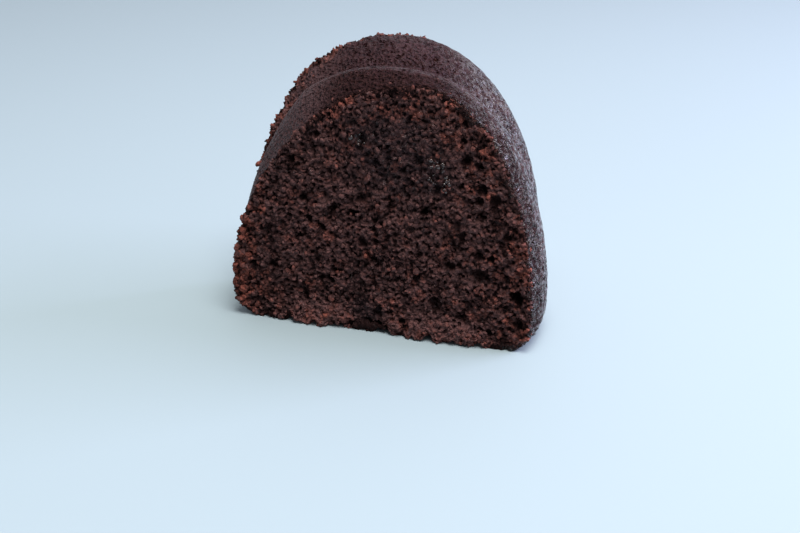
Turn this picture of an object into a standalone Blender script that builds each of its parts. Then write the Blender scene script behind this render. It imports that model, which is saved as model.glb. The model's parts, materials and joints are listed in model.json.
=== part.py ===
"""A wedge cut from a dark chocolate rum ring cake, baked in a fluted ring pan.

The ring stands on its flat foot, with its axis upright. The wedge lies between two upright cuts that
meet on the axis. The front cut faces -Y, with the hole of the ring at -X and the outer wall at +X.
"""

import math

import bmesh
import bpy
from mathutils import Vector, noise

# Sizes are in metres and angles in degrees.
# The ring: its section is the shape that the front cut shows.
RING_RADIUS = 0.0863
SECTION_WIDTH = 0.090
SECTION_HEIGHT = 0.0759
WEDGE_ANGLE = 31.6
WIDEST_HEIGHT = 0.0098
FOOT_HALF_WIDTH = 0.0365

# The crown leans to the outer wall at the front cut, and less so further back.
CROWN_OFFSET = 0.0124
CROWN_SHIFT_BACK = 0.0052
CROWN_SHIFT_ANGLE = 15.0

# The flanks are cubic curves: how far each one runs straight at its two ends. As the crown shifts, its
# inner run gets shorter and its outer run longer, by these shares of the shift.
INNER_WALL_RUN = 0.0281
INNER_CROWN_RUN = 0.0346
OUTER_WALL_RUN = 0.0373
OUTER_CROWN_RUN = 0.0190
INNER_RUN_SHARE = 0.7
OUTER_RUN_SHARE = 0.6
CORNER_ROUNDNESS = 0.6

# The flutes: round lobes with sharp grooves between them. On the outer wall they stand upright, and
# from TWIST_START inwards they run back over the crown, by FLUTE_TWIST for each half width.
FLUTE_COUNT = 16
FLUTE_DEPTH = 0.0063
FIRST_CREST_ANGLE = 3.2
FLUTE_TWIST = 11.0
TWIST_START = 0.25
TWIST_SOFTNESS = 0.2
FLUTE_FADE_HEIGHT = 0.0034
FLUTE_INNER_SHARE = 0.52
FLUTE_OUTER_SHARE = 1.17

# The crumb has shrunk a little at the front cut, so the outer wall swells behind it.
OUTER_SWELL = 0.0032
OUTER_SWELL_ANGLE = 9.0

# Crumb: lumps on the cuts, holes left by bubbles, and a torn rim round each cut.
GAP_SHARPNESS = 1.25
LUMP_SIZE = 0.0055
LUMP_HEIGHT = 0.0016
FINE_LUMP_SIZE = 0.0030
FINE_LUMP_HEIGHT = 0.0007
FACE_WAVE_SIZE = 0.022
FACE_WAVE_HEIGHT = 0.0010
HOLE_SPACING = 0.0078
HOLE_RADIUS = 0.0028
HOLE_DEPTH = 0.0026
HOLE_SHARE = 0.62
HOLE_PATTERN = 7.3
LEAST_HOLE_SHARE = 0.6
HOLE_SPREAD = 0.8
TORN_RIM_WIDTH = 0.0035
TORN_RIM_DEPTH = 0.0013
TORN_FOOT_WIDTH = 1.5 * TORN_RIM_WIDTH
CRUST_WAVE_SIZE = 0.013
CRUST_WAVE_HEIGHT = 0.0003

# Two marks on the front cut, as distance outwards from its middle, height, and radius. The hole goes
# straight in, and the notch goes in and up.
LARGE_HOLE = (0.0400, 0.0165, 0.0027)
LARGE_HOLE_DEPTH = Vector((0, 0.0032, 0))
FOOT_NOTCH = (-0.0030, 0.0002, 0.0058)
FOOT_NOTCH_DEPTH = Vector((0, 0.0018, 0.0032))
FOOT_NOTCH_REACH = 1.6
FOOT_LIFT = 0.0016

# How fine the solid is. A vertex belongs to a cut, or to the foot, where its normal leans that way by
# more than these cosines, and a cut's crumb fades out within CUT_FADE.
OUTLINE_STEPS = 26
STATION_ANGLE = 1.0
VOXEL = 0.0010
CUT_FADE = 2 * VOXEL
CUT_LEAN = 0.6
FOOT_LEAN = 0.5
TRIANGLES = 10800

# The foot is cut level this far up, by a block larger than the slice.
FOOT_TRIM = 0.0006
BLOCK_SIZE = 0.4
SAME_POINT = 1e-5

# Where the ring's axis stands, so that the origin is under the middle of the wedge's box.
AXIS_X = -0.08491
AXIS_Y = -0.03432

CRUMB_COLOUR = (0.055, 0.022, 0.016, 1.0)
CRUMB_ROUGHNESS = 0.75


def clear_scene():
    for old in list(bpy.data.objects):
        bpy.data.objects.remove(old, do_unlink=True)


def clamp(value, low=0.0, high=1.0):
    return max(low, min(high, value))


def smooth_step(value):
    value = clamp(value)
    return value * value * (3 - 2 * value)


def cubic(start, start_run, end_run, end, steps):
    """Points of a cubic Bezier curve, without its last one."""
    points = []
    for step in range(steps):
        t = step / steps
        u = 1 - t
        points.append(u**3 * start + 3 * u * u * t * start_run + 3 * u * t * t * end_run + t**3 * end)
    return points


def plain_outline(angle):
    """The section without flutes at this angle: (distance outwards, height), from foot to foot."""
    half = SECTION_WIDTH / 2
    swell = OUTER_SWELL * smooth_step(angle / OUTER_SWELL_ANGLE)
    shift = CROWN_SHIFT_BACK * clamp(angle / CROWN_SHIFT_ANGLE)
    crown = Vector((CROWN_OFFSET - shift, SECTION_HEIGHT))
    inner_run = Vector((INNER_CROWN_RUN - INNER_RUN_SHARE * shift, 0))
    outer_run = Vector((OUTER_CROWN_RUN + OUTER_RUN_SHARE * shift, 0))
    inner_foot = Vector((-FOOT_HALF_WIDTH, 0))
    outer_foot = Vector((FOOT_HALF_WIDTH + swell, 0))
    inner_wide = Vector((-half, WIDEST_HEIGHT))
    outer_wide = Vector((half + swell, WIDEST_HEIGHT))
    corner = Vector((CORNER_ROUNDNESS * (half - FOOT_HALF_WIDTH), 0))
    drop = Vector((0, CORNER_ROUNDNESS * WIDEST_HEIGHT))
    points = cubic(inner_foot, inner_foot - corner, inner_wide - drop, inner_wide, OUTLINE_STEPS // 3)
    points += cubic(
        inner_wide, inner_wide + Vector((0, INNER_WALL_RUN)), crown - inner_run, crown, OUTLINE_STEPS
    )
    points += cubic(
        crown, crown + outer_run, outer_wide + Vector((0, OUTER_WALL_RUN)), outer_wide, OUTLINE_STEPS
    )
    points += cubic(outer_wide, outer_wide - drop, outer_foot + corner, outer_foot, OUTLINE_STEPS // 3)
    return points + [outer_foot]


def flute_rise(angle, point):
    """How far a flute stands out here, measured from the front cut's own outline.

    Flutes fade out at the foot, and are lower round the hole than on the outer wall.
    """
    pitch = 360 / FLUTE_COUNT
    outward = point.x / (SECTION_WIDTH / 2)
    inward = TWIST_START - outward
    crest = FIRST_CREST_ANGLE + FLUTE_TWIST * (inward + math.hypot(inward, TWIST_SOFTNESS)) / 2
    here = abs(math.cos(math.pi * (angle - crest) / pitch))
    front = abs(math.cos(math.pi * crest / pitch))
    end_share = FLUTE_INNER_SHARE if outward < 0 else FLUTE_OUTER_SHARE
    share = 1 + (end_share - 1) * min(abs(outward), 1)
    return FLUTE_DEPTH * (here - front) * share * clamp(point.y / FLUTE_FADE_HEIGHT)


def fluted_outline(angle):
    points = plain_outline(angle)
    fluted = []
    for index, point in enumerate(points):
        before = points[max(index - 1, 0)]
        after = points[min(index + 1, len(points) - 1)]
        along = (after - before).normalized()
        outwards = Vector((-along.y, along.x))
        fluted.append(point + outwards * flute_rise(angle, point))
    return fluted


def ring_point(angle, point):
    """A point of the section, turned about the ring's axis to this angle."""
    turn = math.radians(angle)
    reach = RING_RADIUS + point.x
    return Vector((reach * math.cos(turn), reach * math.sin(turn), point.y - FOOT_TRIM))


def smooth_wedge():
    """The wedge without its crumb: a loft of the sections, closed by the two flat cuts."""
    shape = bmesh.new()
    stations = round(WEDGE_ANGLE / STATION_ANGLE)
    rows = []
    for station in range(stations + 1):
        angle = WEDGE_ANGLE * station / stations
        rows.append([shape.verts.new(ring_point(angle, point)) for point in fluted_outline(angle)])
    for near, far in zip(rows, rows[1:]):
        for index in range(len(near)):
            following = (index + 1) % len(near)
            shape.faces.new((near[index], near[following], far[following], far[index]))
    shape.faces.new(reversed(rows[0]))
    shape.faces.new(rows[-1])
    bmesh.ops.recalc_face_normals(shape, faces=shape.faces)
    mesh = bpy.data.meshes.new("wedge")
    shape.to_mesh(mesh)
    shape.free()
    return bpy.data.objects.new("cake_slice", mesh)


def apply_modifiers(piece):
    """Replaces the object's mesh by the one that its modifiers make."""
    bpy.context.view_layer.update()
    graph = bpy.context.evaluated_depsgraph_get()
    made = bpy.data.meshes.new_from_object(piece.evaluated_get(graph))
    piece.modifiers.clear()
    piece.data = made


def remesh(piece):
    even = piece.modifiers.new("even grid", "REMESH")
    even.mode = "VOXEL"
    even.voxel_size = VOXEL
    apply_modifiers(piece)


def lump(place, size):
    """1 at the middle of a crumb and 0 in the gaps between crumbs."""
    distances, _ = noise.voronoi(place / size)
    return 1 - clamp(distances[0] * GAP_SHARPNESS)


def hole(place):
    """1 in the middle of a bubble's hole. Only some of the cells of a coarse pattern hold one."""
    distances, centres = noise.voronoi(place / HOLE_SPACING)
    chance = noise.noise(centres[0] * HOLE_PATTERN) + 0.5
    if chance > HOLE_SHARE:
        return 0.0
    radius = HOLE_RADIUS * (LEAST_HOLE_SHARE + HOLE_SPREAD * chance)
    return smooth_step(GAP_SHARPNESS * (1 - distances[0] * HOLE_SPACING / radius))


def mark(place, at, reach=1.0):
    """1 in the middle of a mark on the front cut, 0 past its radius, or past reach radii inwards."""
    across, height, radius = at
    offset = Vector((place.x - RING_RADIUS - across, place.y / reach, place.z - height))
    return smooth_step(GAP_SHARPNESS * (1 - offset.length / radius))


def crumb_relief(place, to_cut):
    """How far a point on a cut moves along the cut's normal."""
    move = LUMP_HEIGHT * lump(place, LUMP_SIZE)
    move += FINE_LUMP_HEIGHT * lump(place, FINE_LUMP_SIZE)
    move += FACE_WAVE_HEIGHT * noise.noise(place / FACE_WAVE_SIZE)
    move -= HOLE_DEPTH * hole(place)
    move -= 0.5 * (LUMP_HEIGHT + FACE_WAVE_HEIGHT)
    return move * smooth_step(1 - to_cut / CUT_FADE)


def crust_relief(place, to_cut):
    """How far a point on the crust moves: a gentle wave, and a torn rim beside each cut."""
    move = CRUST_WAVE_HEIGHT * noise.noise(place / CRUST_WAVE_SIZE)
    torn = smooth_step(1 - to_cut / TORN_RIM_WIDTH)
    return move - TORN_RIM_DEPTH * torn * (1 - lump(place, LUMP_SIZE))


def roughen(piece):
    """Gives the cuts their crumb, and the crust its wave and torn rim."""
    wedge = math.radians(WEDGE_ANGLE)
    rear_normal = Vector((-math.sin(wedge), math.cos(wedge), 0))
    vertices = piece.data.vertices
    moved = []
    for vertex in vertices:
        place = vertex.co.copy()
        to_front = place.y
        to_rear = -place.dot(rear_normal)
        on_front = to_front < VOXEL and vertex.normal.y < -CUT_LEAN
        on_rear = to_rear < VOXEL and vertex.normal.dot(rear_normal) > CUT_LEAN
        to_cut = min(to_front, to_rear)
        if on_front:
            move = Vector((0, -1, 0)) * crumb_relief(place, max(to_front, 0))
        elif on_rear:
            move = rear_normal * crumb_relief(place, max(to_rear, 0))
        else:
            move = vertex.normal * crust_relief(place, max(to_cut, 0))
        if place.z < TORN_RIM_WIDTH and vertex.normal.z < -FOOT_LEAN:
            beside = smooth_step(1 - max(to_cut, 0) / TORN_FOOT_WIDTH)
            move.z += FOOT_LIFT * beside * (0.5 + noise.noise(place / LUMP_SIZE))
        move += LARGE_HOLE_DEPTH * mark(place, LARGE_HOLE)
        move += FOOT_NOTCH_DEPTH * mark(place, FOOT_NOTCH, FOOT_NOTCH_REACH)
        moved.append(place + move)
    for vertex, place in zip(vertices, moved):
        vertex.co = place
    piece.data.update()


def thin_out(piece):
    fewer = piece.modifiers.new("fewer faces", "DECIMATE")
    fewer.ratio = TRIANGLES / (2 * len(piece.data.polygons))
    apply_modifiers(piece)


def cut_foot_flat(piece):
    """Cuts the slice level where it rests, by keeping what is inside a block above the foot."""
    shape = bmesh.new()
    bmesh.ops.create_cube(shape, size=BLOCK_SIZE)
    bmesh.ops.translate(shape, verts=shape.verts, vec=(0, 0, BLOCK_SIZE / 2))
    mesh = bpy.data.meshes.new("above foot")
    shape.to_mesh(mesh)
    shape.free()
    block = bpy.data.objects.new("above foot", mesh)
    bpy.context.scene.collection.objects.link(block)
    keep = piece.modifiers.new("flat foot", "BOOLEAN")
    keep.operation = "INTERSECT"
    keep.solver = "MANIFOLD"
    keep.object = block
    apply_modifiers(piece)
    bpy.data.objects.remove(block, do_unlink=True)


def keep_largest_body(piece):
    """Drops loose scraps that the level cut leaves."""
    shape = bmesh.new()
    shape.from_mesh(piece.data)
    bmesh.ops.remove_doubles(shape, verts=shape.verts, dist=SAME_POINT)
    left = set(shape.verts)
    bodies = []
    while left:
        body = {left.pop()}
        edge_of_body = list(body)
        while edge_of_body:
            vertex = edge_of_body.pop()
            for edge in vertex.link_edges:
                other = edge.other_vert(vertex)
                if other in left:
                    left.remove(other)
                    body.add(other)
                    edge_of_body.append(other)
        bodies.append(body)
    bodies.sort(key=len)
    for scrap in bodies[:-1]:
        bmesh.ops.delete(shape, geom=list(scrap), context="VERTS")
    shape.to_mesh(piece.data)
    shape.free()


def crumb_material():
    material = bpy.data.materials.new("chocolate crumb")
    material.use_nodes = True
    shader = material.node_tree.nodes["Principled BSDF"]
    shader.inputs["Base Color"].default_value = CRUMB_COLOUR
    shader.inputs["Roughness"].default_value = CRUMB_ROUGHNESS
    shader.inputs["Metallic"].default_value = 0.0
    material.diffuse_color = CRUMB_COLOUR
    return material


def place_on_origin(piece):
    """Moves the mesh from the ring's axis to the slice's own origin."""
    for vertex in piece.data.vertices:
        vertex.co += Vector((AXIS_X, AXIS_Y, 0))


def make_slice():
    piece = smooth_wedge()
    collection = bpy.data.collections.new("rum_cake_slice")
    bpy.context.scene.collection.children.link(collection)
    collection.objects.link(piece)
    remesh(piece)
    roughen(piece)
    thin_out(piece)
    cut_foot_flat(piece)
    keep_largest_body(piece)
    place_on_origin(piece)
    piece.data.materials.clear()
    piece.data.materials.append(crumb_material())
    piece.data.shade_flat()


clear_scene()
make_slice()
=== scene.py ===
import json
import math

import bmesh
import bpy
import numpy as np
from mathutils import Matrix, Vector

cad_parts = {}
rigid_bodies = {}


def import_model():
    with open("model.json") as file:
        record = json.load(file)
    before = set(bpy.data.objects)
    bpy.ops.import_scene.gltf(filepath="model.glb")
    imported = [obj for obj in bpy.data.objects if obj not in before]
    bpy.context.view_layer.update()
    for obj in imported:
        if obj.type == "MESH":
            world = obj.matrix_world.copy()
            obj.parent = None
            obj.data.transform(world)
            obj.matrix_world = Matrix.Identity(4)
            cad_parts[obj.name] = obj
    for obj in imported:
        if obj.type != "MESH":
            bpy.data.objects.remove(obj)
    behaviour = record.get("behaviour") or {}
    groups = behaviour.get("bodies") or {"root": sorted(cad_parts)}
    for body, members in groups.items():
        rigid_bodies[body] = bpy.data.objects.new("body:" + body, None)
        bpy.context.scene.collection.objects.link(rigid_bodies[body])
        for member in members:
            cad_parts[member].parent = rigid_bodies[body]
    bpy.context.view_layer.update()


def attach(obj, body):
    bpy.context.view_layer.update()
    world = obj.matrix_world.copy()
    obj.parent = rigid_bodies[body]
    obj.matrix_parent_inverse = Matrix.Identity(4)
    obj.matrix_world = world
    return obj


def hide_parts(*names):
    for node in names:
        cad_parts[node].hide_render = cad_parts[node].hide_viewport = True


for leftover in list(bpy.data.objects):
    bpy.data.objects.remove(leftover, do_unlink=True)
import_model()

# The room: a pale cool table top in soft daylight that comes mostly from behind the slice and from
# its right. The slice is seen from a little above and from the right of its front cut.
CAMERA_PLACE = (0.09489, -0.32792, 0.1690)
CAMERA_LOOK = (-0.2552, 0.8650, -0.4321)
CAMERA_LENS = 54.0
CAMERA_SENSOR = 36.0
CAMERA_CLIP = 0.01
FLOOR_HALF = 3.0
FLOOR_COLOUR = (0.335, 0.415, 0.44, 1.0)
FLOOR_ROUGHNESS = 0.75
FLOOR_SHINE = 0.2
SKY_COLOUR = (0.90, 0.91, 1.0, 1.0)
BRIGHT_SIDE = (0.50, 0.85, 0.10)
# The sky is dimmest where it faces away from its bright side, and brightens towards that side.
DIM_FACING = -0.7
BRIGHT_FACING = 1.0
DIM_STRENGTH = 0.17
BRIGHT_STRENGTH = 1.25
# The two windows: name, place, size, power and colour.
WINDOWS = (
    ("window", (0.75, 0.30, 0.38), 0.50, 10.5, (0.74, 0.71, 1.0)),
    ("top_window", (0.16, -0.20, 0.80), 0.46, 8.5, (1.0, 0.98, 0.96)),
)
AIM = (0.0, 0.0, 0.04)

scene = bpy.context.scene


def add_object(name, data):
    made = bpy.data.objects.new(name, data)
    scene.collection.objects.link(made)
    return made


def turn_towards(made, way):
    """Turns a camera or a light so that it looks this way."""
    made.rotation_mode = "QUATERNION"
    made.rotation_quaternion = Vector(way).to_track_quat("-Z", "Y")


def new_material(name):
    """A new material, its node tree and its surface shader."""
    material = bpy.data.materials.new(name)
    material.use_nodes = True
    tree = material.node_tree
    return material, tree, tree.nodes["Principled BSDF"]


def put_camera():
    camera = add_object("camera", bpy.data.cameras.new("camera"))
    camera.data.lens = CAMERA_LENS
    camera.data.sensor_width = CAMERA_SENSOR
    camera.data.clip_start = CAMERA_CLIP
    camera.location = CAMERA_PLACE
    turn_towards(camera, CAMERA_LOOK)
    scene.camera = camera


def put_window(name, place, size, power, colour):
    light = bpy.data.lights.new(name, "AREA")
    light.size = size
    light.energy = power
    light.color = colour
    window = add_object(name, light)
    window.location = place
    turn_towards(window, Vector(AIM) - Vector(place))


def lay_floor():
    mesh = bpy.data.meshes.new("table top")
    corners = [(x * FLOOR_HALF, y * FLOOR_HALF, 0) for x, y in ((-1, -1), (1, -1), (1, 1), (-1, 1))]
    mesh.from_pydata(corners, [], [(0, 1, 2, 3)])
    material, _, shader = new_material("pale table top")
    shader.inputs["Base Color"].default_value = FLOOR_COLOUR
    shader.inputs["Roughness"].default_value = FLOOR_ROUGHNESS
    shader.inputs["Specular IOR Level"].default_value = FLOOR_SHINE
    mesh.materials.append(material)
    floor = add_object("table_top", mesh)


def light_room():
    """A sky that is brighter on one side, and the two windows."""
    world = bpy.data.worlds.new("soft daylight")
    world.use_nodes = True
    nodes, links = world.node_tree.nodes, world.node_tree.links
    way = nodes.new("ShaderNodeTexCoord")
    facing = nodes.new("ShaderNodeVectorMath")
    facing.operation = "DOT_PRODUCT"
    facing.inputs[1].default_value = Vector(BRIGHT_SIDE).normalized()
    strength = nodes.new("ShaderNodeMapRange")
    strength.interpolation_type = "SMOOTHSTEP"
    strength.inputs["From Min"].default_value = DIM_FACING
    strength.inputs["From Max"].default_value = BRIGHT_FACING
    strength.inputs["To Min"].default_value = DIM_STRENGTH
    strength.inputs["To Max"].default_value = BRIGHT_STRENGTH
    links.new(way.outputs["Generated"], facing.inputs[0])
    links.new(facing.outputs["Value"], strength.inputs["Value"])
    links.new(strength.outputs["Result"], nodes["Background"].inputs["Strength"])
    nodes["Background"].inputs["Color"].default_value = SKY_COLOUR
    scene.world = world
    for window in WINDOWS:
        put_window(*window)
    scene.view_settings.view_transform = "Standard"


put_camera()
lay_floor()
light_room()

# The crumb: a wedge of dark, moist chocolate sponge between two knife cuts that meet on the ring's
# axis. The knife tore its fine bubbles open, so both cuts are crowded lumps with dark gaps and holes.
# It is made as a front and a back half, which meet inside the slice.

# The ring, its section, its flutes and its axis, in metres and degrees.
RING_RADIUS = 0.0863
SECTION_WIDTH = 0.090
SECTION_HEIGHT = 0.0759
WEDGE_ANGLE = 31.6
WIDEST_HEIGHT = 0.0098
FOOT_HALF_WIDTH = 0.0365
CROWN_OFFSET = 0.0124
CROWN_SHIFT_BACK = 0.0052
CROWN_SHIFT_ANGLE = 15.0
INNER_WALL_RUN = 0.0281
INNER_CROWN_RUN = 0.0346
OUTER_WALL_RUN = 0.0373
OUTER_CROWN_RUN = 0.0190
INNER_RUN_SHARE = 0.7
OUTER_RUN_SHARE = 0.6
CORNER_ROUNDNESS = 0.6
OUTER_SWELL = 0.0032
OUTER_SWELL_ANGLE = 9.0
FLUTE_COUNT = 16
FLUTE_DEPTH = 0.0063
FIRST_CREST_ANGLE = 3.2
FLUTE_TWIST = 11.0
TWIST_START = 0.25
TWIST_SOFTNESS = 0.2
FLUTE_FADE_HEIGHT = 0.0034
FLUTE_INNER_SHARE = 0.52
FLUTE_OUTER_SHARE = 1.17
FOOT_TRIM = 0.0006
AXIS_X = -0.08491
AXIS_Y = -0.03432
CURVE_SAMPLES = 200
# The outline's last course stops just short of 5, where it closes.
LAST_COURSE = 4.99999

# The two cuts' grids, the rows behind them, and how deep the crumb lies under the slice's outline.
FRONT_CUT_STEPS = 292
REAR_CUT_STEPS = 256
CUT_MIDDLE = (0.004, 0.030)
MIDDLE_ANGLE = WEDGE_ANGLE / 2
FINE_ROW_ANGLE = 0.25
FRONT_FINE_ROWS = 8
REAR_FINE_ROWS = 24
COARSE_ROWS = 3
RIM_INSET = 0.0003
CRUST_INSET = 0.0020
DEEP_INSET = 0.0046
FRONT_TORN_WIDTH = 0.0015
REAR_TORN_WIDTH = 0.0045
TORN_UP_TO = 0.006
TORN_SOFTNESS = 0.012

# The relief of torn crumb: pores, two sizes of grain, clumps, open bubbles and a broad wave.
PORE_SIZE = 0.0015
PORE_DEPTH = 0.0010
PORE_WALL = (0.16, 0.54)
GRAIN_SIZE = 0.0010
GRAIN_HEIGHT = 0.0007
FINE_GRAIN_SIZE = 0.00070
FINE_GRAIN_HEIGHT = 0.00070
GRAIN_REACH = 0.75
CLUMP_SIZE = 0.0036
CLUMP_HEIGHT = 0.0009
BUBBLE_SPACING = 0.0042
BUBBLE_RADIUS = 0.0017
BUBBLE_DEPTH = 0.0019
BUBBLE_SHARE = 0.42
BUBBLE_WALL = (1.0, 0.3)
WAVE_SIZE = 0.020
WAVE_HEIGHT = 0.0007
WARP_SIZE = 0.0016
WARP_REACH = 0.0008
SWAY = 0.0005
SOAKED_PRESS = 0.85
# How far the relief is sunk, so that its lumps stay near the outline, and the rise of a full lump.
RELIEF_DROP = GRAIN_HEIGHT + 0.0005
FULL_RELIEF = 0.0018

# Marks on the front cut, as distance outwards from its middle, height, and radius.
LARGE_HOLE = (0.0405, 0.0168, 0.0023)
LARGE_HOLE_DEPTH = 0.0050
FOOT_NOTCH = (-0.0030, 0.0002, 0.0042)
FOOT_NOTCH_DEPTH = 0.0022
SMALL_PITS = (
    (-0.0214, 0.0403, 0.0017), (-0.0204, 0.0339, 0.0014), (-0.0237, 0.0279, 0.0015),
    (-0.0163, 0.0316, 0.0012), (-0.0319, 0.0179, 0.0013), (-0.0137, 0.0152, 0.0012),
    (-0.0066, 0.0371, 0.0015), (0.0298, 0.0403, 0.0014), (0.0138, 0.0396, 0.0013),
    (0.0330, 0.0279, 0.0013), (0.0321, 0.0222, 0.0012), (0.0332, 0.0047, 0.0013),
)
SMALL_PIT_DEPTH = 0.0026
MARK_SEED = 3
MARK_REACH = 0.004
MARK_STEEPNESS = 1.5
MARK_LOBES = (2, 3, 5)
MARK_UNEVENNESS = 0.16
MARK_TURN = 6.28
# The torn foot of the front cut. A wave has a length, a phase and a height.
FOOT_GAP_HEIGHT = 0.0011
FOOT_GAP_DEPTH = 0.0016
# How open a gap or a lobe is at the waves' middle, and how much the waves open it.
FOOT_GAP_OPEN = (0.35, 0.40)
FOOT_GAP_SWING = 0.35
FOOT_GAP_FADE = 1.3
FOOT_GAP_WAVES = ((0.0011, 1.0, 1.0), (0.0007, 4.0, 1.0), (0.0026, 0.0, 1.0))
FOOT_LIFT = 0.0015
FOOT_LIFT_HEIGHT = 0.0050
FOOT_LIFT_OPEN = (0.35, 0.35)
FOOT_LIFT_WAVES = ((0.00061, 2.0, 0.7), (0.00113, 0.0, 1.0), (0.0021, 1.0, 1.0))
FOOT_BULGE = 0.0023
FOOT_BULGE_HEIGHT = 0.0110
# Two swellings of the foot: distance outwards of the middle, half width, and share of the bulge.
FOOT_SWELLS = ((-0.0185, 0.0150, 0.8), (0.0180, 0.0190, 1.0))
FOOT_SWELL_FADE = 1.4
# Rum has soaked into these places: distance outwards, height, and two half sizes.
SOAKED = (
    (0.004, 0.0560, 0.0130, 0.0120), (0.016, 0.0500, 0.0060, 0.0060), (-0.003, 0.0065, 0.0045, 0.0035),
)
SOAKED_REACH = 1.5
# Syrup stands in these places and glints: distance outwards, height, and radius.
GLOSSY = (
    (0.0170, 0.0537, 0.0022), (0.0165, 0.0502, 0.0020), (0.0193, 0.0485, 0.0018),
    (-0.0050, 0.0589, 0.0017),
)
GLOSSY_REACH = 1.6
# Redder, drier clusters: distance outwards, height, and radius.
RED_CLUSTERS = (
    (0.0019, 0.0681, 0.0016), (0.0262, 0.0545, 0.0017), (0.0301, 0.0577, 0.0015),
    (0.0324, 0.0462, 0.0017), (-0.0026, 0.0240, 0.0018),
)
RED_CLUSTER_SHARE = 0.65
RED_CLUSTER_REACH = 1.5
# How dry the crumb is at its middle, how much drier it is at each side, and where that begins.
DRY_MIDDLE = 0.10
DRY_LOW = 0.05
DRY_LOW_UP_TO = 0.024
DRY_INNER = 0.5
DRY_INNER_EASE = 0.016
DRY_OUTER = 0.3
DRY_OUTER_FROM = 0.026
DRY_OUTER_EASE = 0.018
DRY_CROWN = 0.20
# Painted light and shade: lumps near the crown are painted lighter, and lumps near the foot are painted
# darker.
CROWN_FROM = 0.058
CROWN_EASE = 0.012
CROWN_PAINTED_LIGHT = 0.4
LOW_UP_TO = 0.030
LOW_PAINTED_SHADE = -0.5

# The crumb's colours and its gloss.
# Painted shade: the gap colour is painted into the gaps and holes that lie low in the relief.
SHADED_GAP_COLOUR = (0.0210, 0.0088, 0.0084, 1.0)
LUMP_COLOUR = (0.130, 0.062, 0.058, 1.0)
RED_LUMP_COLOUR = (0.235, 0.072, 0.052, 1.0)
SYRUP_COLOUR = (0.028, 0.019, 0.022, 1.0)
CRUMB_BUMP = 0.00040
CRUMB_SHINE = 0.06
CRUMB_COAT_ROUGHNESS = 0.20
CRUMB_COAT_IOR = 1.9
CRUMB_ROUGHNESS = 0.68
SOAKED_ROUGHNESS = -0.15
SPECK_ROUGHNESS = 0.12
# How wet all crumb glints, and soaked crumb above that.
MOIST = 0.18
SOAKED_MOIST = 0.12
GLINT_RANGE = (0.05, 0.45)
SOAKED_DARKENING = 0.42
# What each pattern adds to a lump's light and to its redness.
SPECK_LIGHT = 0.35
BROAD_LIGHT = 0.40
# The tone input carries painted light and shade on the cuts, and a random tone on the bits.
TONE_AND_PAINTED_LIGHT_LIFT = 0.3
LIT_RANGE = (0.0, 0.95)
PATCH_RED = 0.6
SPECK_RED = 0.3
BIT_RED = 0.35
TONE_AND_PAINTED_LIGHT_RED = 0.15
RED_RANGE = (0.1, 0.9)
# The sizes of those patterns.
PATCH_SIZE = 0.0060
BROAD_SIZE = 0.0085
SPECK_SIZE = 0.0011
BIT_SIZE = 0.0021
BIT_SWAY = (0.0015, 0.0008)
GLINT_SIZE = 0.0010
CRUMB_BUMP_SIZE = 0.00060


def blend(value):
    """0 below 0, 1 above 1, and smooth between them."""
    value = np.clip(value, 0, 1)
    return value * value * (3 - 2 * value)


def bezier(start, start_run, end_run, end, at):
    left = 1 - at
    return (
        left**3 * start + 3 * left * left * at * start_run + 3 * left * at * at * end_run + at**3 * end
    )


def plain_section(course, angle):
    """The section without flutes: (distance outwards, height). Courses 0 to 4 run from the inner foot
    over the crown to the outer foot, and course 4 to 5 is the foot."""
    half = SECTION_WIDTH / 2
    part = np.clip(np.floor(course), 0, 4).astype(int)
    at = course - part
    ease = np.clip(angle / OUTER_SWELL_ANGLE, 0, 1)
    swell = OUTER_SWELL * ease * ease * (3 - 2 * ease)
    shift = CROWN_SHIFT_BACK * np.clip(angle / CROWN_SHIFT_ANGLE, 0, 1)
    still = np.zeros_like(course + angle)
    crown = CROWN_OFFSET - shift
    inner_run = INNER_CROWN_RUN - INNER_RUN_SHARE * shift
    outer_run = OUTER_CROWN_RUN + OUTER_RUN_SHARE * shift
    corner = CORNER_ROUNDNESS * (half - FOOT_HALF_WIDTH)
    drop = CORNER_ROUNDNESS * WIDEST_HEIGHT
    inner_foot, outer_foot = still - FOOT_HALF_WIDTH, still + FOOT_HALF_WIDTH + swell
    inner_wide, outer_wide = still - half, still + half + swell
    third = (outer_foot - inner_foot) / 3
    across = (
        (inner_foot, inner_foot - corner, inner_wide, inner_wide),
        (inner_wide, inner_wide, crown - inner_run, crown),
        (crown, crown + outer_run, outer_wide, outer_wide),
        (outer_wide, outer_wide, outer_foot + corner, outer_foot),
        (outer_foot, outer_foot - third, inner_foot + third, inner_foot),
    )
    top, wide = SECTION_HEIGHT, WIDEST_HEIGHT
    up = (
        (0, 0, wide - drop, wide),
        (wide, wide + INNER_WALL_RUN, top, top),
        (top, top, wide + OUTER_WALL_RUN, wide),
        (wide, wide - drop, 0, 0),
        (0, 0, 0, 0),
    )
    reach = [bezier(*points, at) for points in across]
    height = [bezier(*points, at) + still for points in up]
    return np.choose(part, reach), np.choose(part, height)


def crest_angle(reach):
    """The angle at which the first flute's crest runs. It bends back towards the hole."""
    inward = TWIST_START - reach / (SECTION_WIDTH / 2)
    return FIRST_CREST_ANGLE + FLUTE_TWIST * (inward + np.hypot(inward, TWIST_SOFTNESS)) / 2


def flute_rise(angle, reach, height):
    """How far a flute stands out, measured from the front cut's own outline."""
    pitch = 360 / FLUTE_COUNT
    outward = reach / (SECTION_WIDTH / 2)
    crest = crest_angle(reach)
    here = np.abs(np.cos(np.pi * (angle - crest) / pitch))
    front = np.abs(np.cos(np.pi * crest / pitch))
    end_share = np.where(outward < 0, FLUTE_INNER_SHARE, FLUTE_OUTER_SHARE)
    share = 1 + (end_share - 1) * np.minimum(np.abs(outward), 1)
    return FLUTE_DEPTH * (here - front) * share * np.clip(height / FLUTE_FADE_HEIGHT, 0, 1)


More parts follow.
